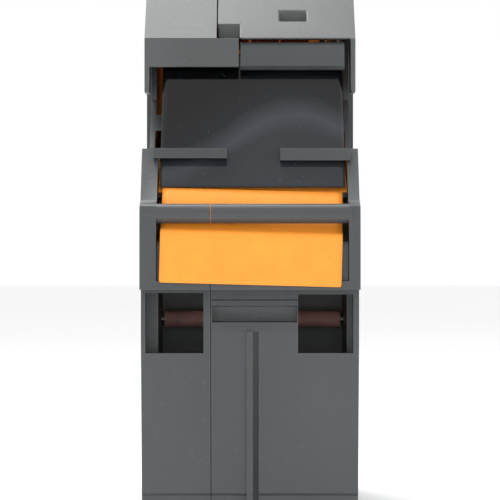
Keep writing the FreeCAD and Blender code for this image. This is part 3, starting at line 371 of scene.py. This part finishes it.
def make_materials(colours):
    """One finish for each kind of piece, by the name that dress and add_piece use."""
    MATERIALS.update(
        grey_plastic=moulded_plastic("BodyGrey", tuple(colours.body_color)),
        # Head covers: body grey painted lighter, as painted light.
        cover_plastic=moulded_plastic("CoverGreyPaintedLight", tuple(colours.cover_painted_light_color), rough=0.38),
        # Chamber wall: the body grey painted 3.2 times lighter, as painted light inside the dark pockets.
        chamber_plastic=moulded_plastic("ChamberGreyPaintedLight", scaled(tuple(colours.body_color), 3.2)),
        black_plastic=moulded_plastic("WorkingBlack", tuple(colours.black_color), rough=0.4, wear_and_highlight=2.2),
        steel=drawn_metal("DrawnSteel", (0.50, 0.51, 0.52)),
        zinc_steel=drawn_metal("ZincScrews", (0.34, 0.34, 0.33), rough=0.42),
        black_rubber=moulded_rubber("GripRubber", (0.030, 0.030, 0.031)),
        # Guide roller: red-brown rubber painted much paler, as painted light in the dark pockets.
        red_rubber=moulded_rubber("GuideRubberPaintedPale", (0.75, 0.42, 0.38), rough=0.55),
        type_rubber=moulded_rubber("TypeRubber", (0.30, 0.045, 0.035), rough=0.6),
        # The labels carry a painted glow.
        orange_paper=paper("LabelOrange", tuple(colours.label_color), painted_glow=0.10),
        backing_paper=paper("BackingPaper", (0.78, 0.73, 0.58), rough=0.35),
        card=paper("CoreCard", (0.42, 0.30, 0.18), rough=0.8),
        smoked_film=smoked_film("SmokedFilm", tuple(colours.film_color), *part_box("guard_film")),
        clear_plastic=clear_plastic("SmokyClear", (0.55, 0.60, 0.62)),
        ink_felt=ink_felt("InkFelt", (0.02, 0.015, 0.05)),
    )


# --- Mesh helpers -----------------------------------------------------------------------------------


def dress(nodes, finish, bevel=None):
    """Gives CAD nodes their material and small rounded edges."""
    width = bpy.context.scene.gun_finish.edge_bevel if bevel is None else bevel
    for name in nodes:
        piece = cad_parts[name]
        piece.data.materials.clear()
        piece.data.materials.append(MATERIALS[finish])
        if not width:
            continue
        weld = piece.modifiers.new("JoinEdges", "WELD")
        weld.merge_threshold = 0.002 * MM
        rounding = piece.modifiers.new("MouldedEdge", "BEVEL")
        rounding.width = width
        rounding.segments = 2
        rounding.limit_method = "ANGLE"
        rounding.angle_limit = math.radians(40)
        rounding.use_clamp_overlap = True
        rounding.harden_normals = True
        shading = piece.modifiers.new("EvenShading", "WEIGHTED_NORMAL")
        shading.mode = "FACE_AREA"
        shading.weight = 100
        shading.thresh = 1.0


def add_piece(name, bm, finish, body, replaced=()):
    """Links a mesh as a piece that rides on a body and stands for the CAD nodes it replaces."""
    mesh = bpy.data.meshes.new(name)
    bmesh.ops.recalc_face_normals(bm, faces=bm.faces)
    bm.to_mesh(mesh)
    bm.free()
    for face in mesh.polygons:
        face.use_smooth = True
    piece = bpy.data.objects.new(name, mesh)
    bpy.context.scene.collection.objects.link(piece)
    mesh.materials.append(MATERIALS[finish])
    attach(piece, body)
    if replaced:
        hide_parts(*replaced)
    return piece


def smooth_route(points, steps):
    """A Catmull-Rom line through (y, z) points."""
    route = []
    count = len(points)
    for i in range(count - 1):
        p0 = points[max(i - 1, 0)]
        p1, p2 = points[i], points[i + 1]
        p3 = points[min(i + 2, count - 1)]
        for s in range(steps):
            t = s / steps
            route.append(
                tuple(
                    0.5
                    * (
                        2 * b
                        + (c - a) * t
                        + (2 * a - 5 * b + 4 * c - d) * t * t
                        + (3 * b - a - 3 * c + d) * t**3
                    )
                    for a, b, c, d in zip(p0, p1, p2, p3)
                )
            )
    route.append(points[-1])
    return route


def close_sheet(bm, grid):
    """Joins rows of (outer, inner) vertex pairs into one closed thin solid."""
    last = len(grid[0]) - 1
    for first, second in zip(grid, grid[1:]):
        for i in range(last):
            for k in (0, 1):
                bm.faces.new((first[i][k], first[i + 1][k], second[i + 1][k], second[i][k]))
        for i in (0, last):
            bm.faces.new((first[i][0], second[i][0], second[i][1], first[i][1]))
    for row in (grid[0], grid[-1]):
        for i in range(last):
            bm.faces.new((row[i][0], row[i][1], row[i + 1][1], row[i + 1][0]))


def ribbon(route, left, right, thickness, across=24, corner=0.0, crown=0.0):
    """A thin closed strip along a (y, z) route, with rounded corners at its far end."""
    bm = bmesh.new()
    grid = []
    length_left = 0.0
    lengths = [0.0]
    for here, after in zip(reversed(route[1:]), reversed(route[:-1])):
        length_left += math.dist(here, after)
        lengths.append(length_left)
    lengths.reverse()
    for index, (y, z) in enumerate(route):
        before = route[max(index - 1, 0)]
        after = route[min(index + 1, len(route) - 1)]
        run = Vector((after[0] - before[0], after[1] - before[1])).normalized()
        inset = 0.0
        if corner and lengths[index] < corner:
            inset = corner - math.sqrt(corner**2 - (corner - lengths[index]) ** 2)
        row = []
        for i in range(across + 1):
            share = i / across
            x = left + inset + (right - left - 2 * inset) * share
            bulge = crown * 4 * share * (1 - share)
            row.append((x, y - run.y * bulge, z + run.x * bulge))
        normal = Vector((0, -run.y, run.x)) * thickness
        grid.append([(bm.verts.new(p), bm.verts.new(Vector(p) - normal)) for p in row])
    close_sheet(bm, grid)
    return bm


def lathe(profile, centre, segments=96):
    """Turns an (x, radius) outline round a level axis through (y, z)."""
    bm = bmesh.new()
    rings = []
    for x, radius in profile:
        rings.append(
            [
                bm.verts.new(
                    (
                        x,
                        centre[0] + radius * math.cos(2 * math.pi * s / segments),
                        centre[1] + radius * math.sin(2 * math.pi * s / segments),
                    )
                )
                for s in range(segments)
            ]
        )
    for first, second in zip(rings, rings[1:] + rings[:1]):
        for s in range(segments):
            t = (s + 1) % segments
            bm.faces.new((first[s], first[t], second[t], second[s]))
    return bm


# --- Pieces -----------------------------------------------------------------------------------------

# Where the key and fill lights stand, and how wide they are, in metres.
KEY_PLACE = (-0.14, 0.10, 0.60)
KEY_SIZE = 0.35
FILL_PLACES = {"LeftFill": (-0.45, -0.35, 0.15), "RightFill": (0.45, -0.30, 0.15)}
FILL_SIZE = 0.4
# The label's line over its bar, as shares of its box in (y, z), from the peel edge down to the front face.
LABEL_FOLD = ((1.0, 1.0), (0.85, 0.93), (0.72, 0.85), (0.66, 0.79), (0.60, 0.73), (0.33, 0.615), (0.07, 0.55))
LABEL_TILT = math.radians(1.5)
LABEL_SIDE_GAP = 0.5 * MM
# Corners of a handle panel, as shares of its box in (y, z).
GRIP_TOP = ((0.06, 0.88), (0.27, 0.94))
GRIP_FOOT = ((0.555, 0.05), (0.96, 0.07))
# One rib: (share of the pitch, share of the full height).
GRIP_RIB = ((0.0, 0.35), (0.25, 0.35), (0.42, 0.95), (0.68, 1.0), (0.85, 0.9))
GRIP_PROUD = 0.78 * MM
GRIP_BACK = 0.8 * MM
GRIP_COLUMNS = 12


class GUN_OT_body(bpy.types.Operator):
    """Finish the shells, nose, flap and small grey parts"""

    bl_idname = "gun.body"
    bl_label = "Body"

    def execute(self, context):
        dress(("left_housing", "right_housing", "trigger_lever", "bottom_cover"), "grey_plastic")
        dress(("nose_plate", "front_lip", "cover_latch"), "grey_plastic", 0.15 * MM)
        dress(("head_cover_left", "head_cover_right"), "cover_plastic", 0.3 * MM)
        dress(("roll_cover",), "clear_plastic", 0.3 * MM)
        return {"FINISHED"}


class GUN_OT_fasteners(bpy.types.Operator):
    """Finish the screws, axles, pins and springs"""

    bl_idname = "gun.fasteners"
    bl_label = "Screws and Axles"

    def execute(self, context):
        dress(("housing_screws",), "zinc_steel", 0.08 * MM)
        pins = ("trigger_axle", "print_axle", "feed_axle", "hinge_pins", "web_guide_pin", "pinch_roller_pin")
        dress(pins + ("turning_bar", "peel_plate", "drive_pin", "trigger_spring"), "steel", 0.0)
        return {"FINISHED"}


class GUN_OT_feed(bpy.types.Operator):
    """Finish the feed wheel, ratchet, gears and rollers"""

    bl_idname = "gun.feed"
    bl_label = "Label Feed"

    def execute(self, context):
        dress(("chamber_wall",), "chamber_plastic", 0.0)
        parts = ("print_bed", "feed_wheel", "feed_ratchet", "feed_pinion", "feed_sector")
        dress(parts + ("holding_pawl", "roll_hubs"), "black_plastic", 0.12 * MM)
        dress(("platen_pad", "pinch_roller"), "black_rubber", 0.1 * MM)
        dress(("web_guide_roller",), "red_rubber", 0.1 * MM)
        return {"FINISHED"}


class GUN_OT_print_head(bpy.types.Operator):
    """Finish the print arms, head, type wheels and setting knob"""

    bl_idname = "gun.print_head"
    bl_label = "Print Head"

    def execute(self, context):
        metal = ("print_arm_left", "print_arm_right", "ink_arm_pin", "type_shafts", "knob_shaft")
        dress(metal, "steel", 0.08 * MM)
        dress(("head_frame", "setting_knob"), "black_plastic", 0.15 * MM)
        wheels = tuple(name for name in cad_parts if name.startswith("type_wheel_"))
        dress(wheels, "type_rubber", 0.08 * MM)
        return {"FINISHED"}


class GUN_OT_ink(bpy.types.Operator):
    """Finish the ink roller and its arms"""

    bl_idname = "gun.ink"
    bl_label = "Ink Roller"

    def execute(self, context):
        dress(("ink_arms", "ink_axle"), "steel", 0.08 * MM)
        dress(("ink_roller_core",), "black_plastic", 0.1 * MM)
        dress(("ink_roller",), "ink_felt", 0.25 * MM)
        return {"FINISHED"}


class GUN_OT_film(bpy.types.Operator):
    """Bend the smoked film guard between the fingers and the lip"""

    bl_idname = "gun.film"
    bl_label = "Film Guard"

    def execute(self, context):
        low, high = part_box("guard_film")
        drop = high[2] - low[2]
        deep = high[1] - low[1]
        start = (low[1] + 0.05 * MM, low[2] + 0.1 * MM)
        knee = (low[1] + deep * 0.40, low[2] + drop * 0.40)
        upper = (low[1] + deep * 0.87, low[2] + drop * 0.83)
        top = (high[1] - 0.12 * MM, high[2] - 0.1 * MM)
        route = smooth_route([start, knee, upper, top], 14)
        bm = ribbon(route, low[0] + 0.05 * MM, high[0] - 0.05 * MM, 0.22 * MM, across=32)
        add_piece("FilmGuard", bm, "smoked_film", "root", ("guard_film",))
        return {"FINISHED"}


class GUN_OT_labels(bpy.types.Operator):
    """Hang the printed label over its bar and finish the label web"""

    bl_idname = "gun.labels"
    bl_label = "Labels"

    def execute(self, context):
        settings = context.scene.gun_label
        dress(("label_web",), "orange_paper", 0.0)
        dress(("backing_web",), "backing_paper", 0.0)
        low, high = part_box("dispensed_label")
        deep = high[1] - low[1]
        tall = high[2] - low[2]
        points = []
        for share_y, share_z in LABEL_FOLD:
            lift = 0.1 * MM if share_y > 0.5 else 0.0
            points.append((low[1] + deep * share_y - lift, low[2] + tall * share_z - 0.4 * MM))
        points[-1] = (low[1] + 0.14 * MM, points[-1][1])
        points.append((low[1] + 0.13 * MM, low[2] + tall * 0.30))
        points.append((low[1] + 0.12 * MM, low[2] + 0.5 * MM))
        left = low[0] + LABEL_SIDE_GAP
        right = high[0] - LABEL_SIDE_GAP
        corner = settings.corner_radius
        bm = ribbon(smooth_route(points, 8), left, right, settings.label_thickness, corner=corner)
        middle = Vector(((low[0] + high[0]) / 2, 0, low[2] + tall * 0.72))
        turn = Matrix.Rotation(LABEL_TILT, 4, "Y")
        tilt = Matrix.Translation(middle) @ turn @ Matrix.Translation(-middle)
        bm.transform(tilt)
        add_piece("PriceLabel", bm, "orange_paper", "root", ("dispensed_label",))
        return {"FINISHED"}


class GUN_OT_roll(bpy.types.Operator):
    """Wind the roll of labels on its card core"""

    bl_idname = "gun.roll"
    bl_label = "Label Roll"

    def execute(self, context):
        layers = context.scene.gun_label.roll_layers
        low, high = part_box("label_roll")
        core_low, core_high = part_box("roll_core")
        centre = ((low[1] + high[1]) / 2, (low[2] + high[2]) / 2)
        outer = (high[1] - low[1]) / 2 - 0.05 * MM
        inner = (core_high[1] - core_low[1]) / 2 + 0.02 * MM
        step = (outer - inner) / layers
        groove = 0.12 * MM
        right_side = []
        for n in range(layers):
            base = inner + n * step
            drift = 0.05 * MM * math.sin(n * 2.1)
            face = high[0] - 0.12 * MM + drift
            right_side += [(face - groove, base), (face, base + step * 0.3), (face, base + step * 0.8)]
        right_side.append((high[0] - 0.3 * MM, outer))
        centre_x = low[0] + high[0]
        left_side = [(centre_x - x, radius) for x, radius in reversed(right_side)]
        bm = lathe(right_side + left_side, centre)
        add_piece("LabelRoll", bm, "orange_paper", "roll", ("label_roll",))
        dress(("roll_core",), "card", 0.1 * MM)
        return {"FINISHED"}


class GUN_OT_grips(bpy.types.Operator):
    """Rib the two rubber panels of the handle"""

    bl_idname = "gun.grips"
    bl_label = "Handle Grips"

    def execute(self, context):
        dress(("trigger_pad",), "black_rubber", 0.2 * MM)
        low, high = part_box("handle_grips")
        deep = high[1] - low[1]
        tall = high[2] - low[2]
        corners = []
        for share_y, share_z in GRIP_TOP + GRIP_FOOT:
            corners.append(Vector((low[1] + share_y * deep, low[2] + share_z * tall)))
        top_front, top_rear, low_front, low_rear = corners
        ribs = context.scene.gun_label.grip_ribs
        for side, name in ((-1, "LeftGrip"), (1, "RightGrip")):
            base_x = (high[0] if side > 0 else -low[0]) - GRIP_BACK
            back_x = side * (base_x + 0.01 * MM)
            bm = bmesh.new()
            grid = []
            for n in range(ribs):
                for share, height in GRIP_RIB:
                    t = (n + share) / ribs
                    front = top_front.lerp(low_front, t)
                    rear = top_rear.lerp(low_rear, t)
                    line = []
                    for step in range(GRIP_COLUMNS + 1):
                        u = step / GRIP_COLUMNS
                        round_off = 1 - abs(2 * u - 1) ** 6
                        x = side * (base_x + GRIP_PROUD * (0.3 + (height - 0.3) * round_off))
                        spot = front.lerp(rear, u)
                        line.append((bm.verts.new((x, *spot)), bm.verts.new((back_x, *spot))))
                    grid.append(line)
            close_sheet(bm, grid)
            replaced = ("handle_grips",) if side < 0 else ()
            add_piece(name, bm, "black_rubber", "root", replaced)
        return {"FINISHED"}


class GUN_OT_stage(bpy.types.Operator):
    """Set the floor, the soft lights and the level camera"""

    bl_idname = "gun.stage"
    bl_label = "Stage"

    def area_light(self, name, place, aim, power, size):
        light = bpy.data.lights.new(name, "AREA")
        light.energy = power
        light.size = size
        holder = bpy.data.objects.new(name, light)
        holder.location = place
        holder.rotation_euler = (Vector(aim) - Vector(place)).to_track_quat("-Z", "Y").to_euler()
        bpy.context.scene.collection.objects.link(holder)

    def execute(self, context):
        settings = context.scene.gun_stage
        material, tree, shader, coordinates = new_material("FloorPaint")
        colour = tuple(settings.floor_color)
        cloud = noise(tree, coordinates, 3, 3)
        base = ramp(tree, cloud, [(0.3, scaled(colour, 0.985)), (0.7, scaled(colour, 1.0))])
        tree.links.new(base, shader.inputs["Base Color"])
        shader.inputs["Roughness"].default_value = 0.9
        bm = bmesh.new()
        bmesh.ops.create_grid(bm, x_segments=2, y_segments=2, size=3.0)
        mesh = bpy.data.meshes.new("Floor")
        bm.to_mesh(mesh)
        bm.free()
        mesh.materials.append(material)
        floor = bpy.data.objects.new("Floor", mesh)
        floor.location = (0, 0, CAD_LOW.z)
        context.scene.collection.objects.link(floor)
        floor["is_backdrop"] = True
        world = bpy.data.worlds.new("EvenRoom")
        world.use_nodes = True
        background = world.node_tree.nodes["Background"]
        background.inputs["Color"].default_value = (1, 1, 1, 1)
        background.inputs["Strength"].default_value = settings.room_light
        context.scene.world = world
        middle = (0, CAD_LOW.y + 0.02, 0.06)
        self.area_light("KeyLight", KEY_PLACE, middle, settings.key_power, KEY_SIZE)
        for name, place in FILL_PLACES.items():
            self.area_light(name, place, middle, settings.fill_power, FILL_SIZE)
        lens = bpy.data.cameras.new("LevelCamera")
        lens.lens = settings.lens
        lens.sensor_width = 36
        lens.clip_start = 0.01
        camera = bpy.data.objects.new("LevelCamera", lens)
        camera.location = (0, CAD_LOW.y - settings.distance, settings.aim_height)
        camera.rotation_euler = (math.radians(90), 0, 0)
        context.scene.collection.objects.link(camera)
        context.scene.camera = camera
        context.scene.view_settings.view_transform = "Standard"
        return {"FINISHED"}


class GUN_PT_panel(bpy.types.Panel):
    """Everything that makes the labeling gun"""

    bl_idname = "GUN_PT_panel"
    bl_label = "Label Gun"
    bl_space_type = "VIEW_3D"
    bl_region_type = "UI"
    bl_category = "Label Gun"

    def draw(self, context):
        layout = self.layout
        for group in (context.scene.gun_stage, context.scene.gun_finish, context.scene.gun_label):
            column = layout.column(align=True)
            for name in group.__annotations__:
                column.prop(group, name)
        column = layout.column(align=True)
        for operator in OPERATORS:
            column.operator(operator.bl_idname)


SETTINGS = (GunStageSettings, GunFinishSettings, GunLabelSettings)
OPERATORS = (
    GUN_OT_stage,
    GUN_OT_body,
    GUN_OT_fasteners,
    GUN_OT_feed,
    GUN_OT_print_head,
    GUN_OT_ink,
    GUN_OT_film,
    GUN_OT_labels,
    GUN_OT_roll,
    GUN_OT_grips,
)


def register():
    for item in SETTINGS + OPERATORS + (GUN_PT_panel,):
        bpy.utils.register_class(item)
    bpy.types.Scene.gun_stage = bpy.props.PointerProperty(type=GunStageSettings)
    bpy.types.Scene.gun_finish = bpy.props.PointerProperty(type=GunFinishSettings)
    bpy.types.Scene.gun_label = bpy.props.PointerProperty(type=GunLabelSettings)


def unregister():
    del bpy.types.Scene.gun_label
    del bpy.types.Scene.gun_finish
    del bpy.types.Scene.gun_stage
    for item in reversed(SETTINGS + OPERATORS + (GUN_PT_panel,)):
        bpy.utils.unregister_class(item)


def main():
    register()
    make_materials(bpy.context.scene.gun_finish)
    for operator in OPERATORS:
        category, name = operator.bl_idname.split(".")
        getattr(getattr(bpy.ops, category), name)()


if __name__ == "__main__":
    main()
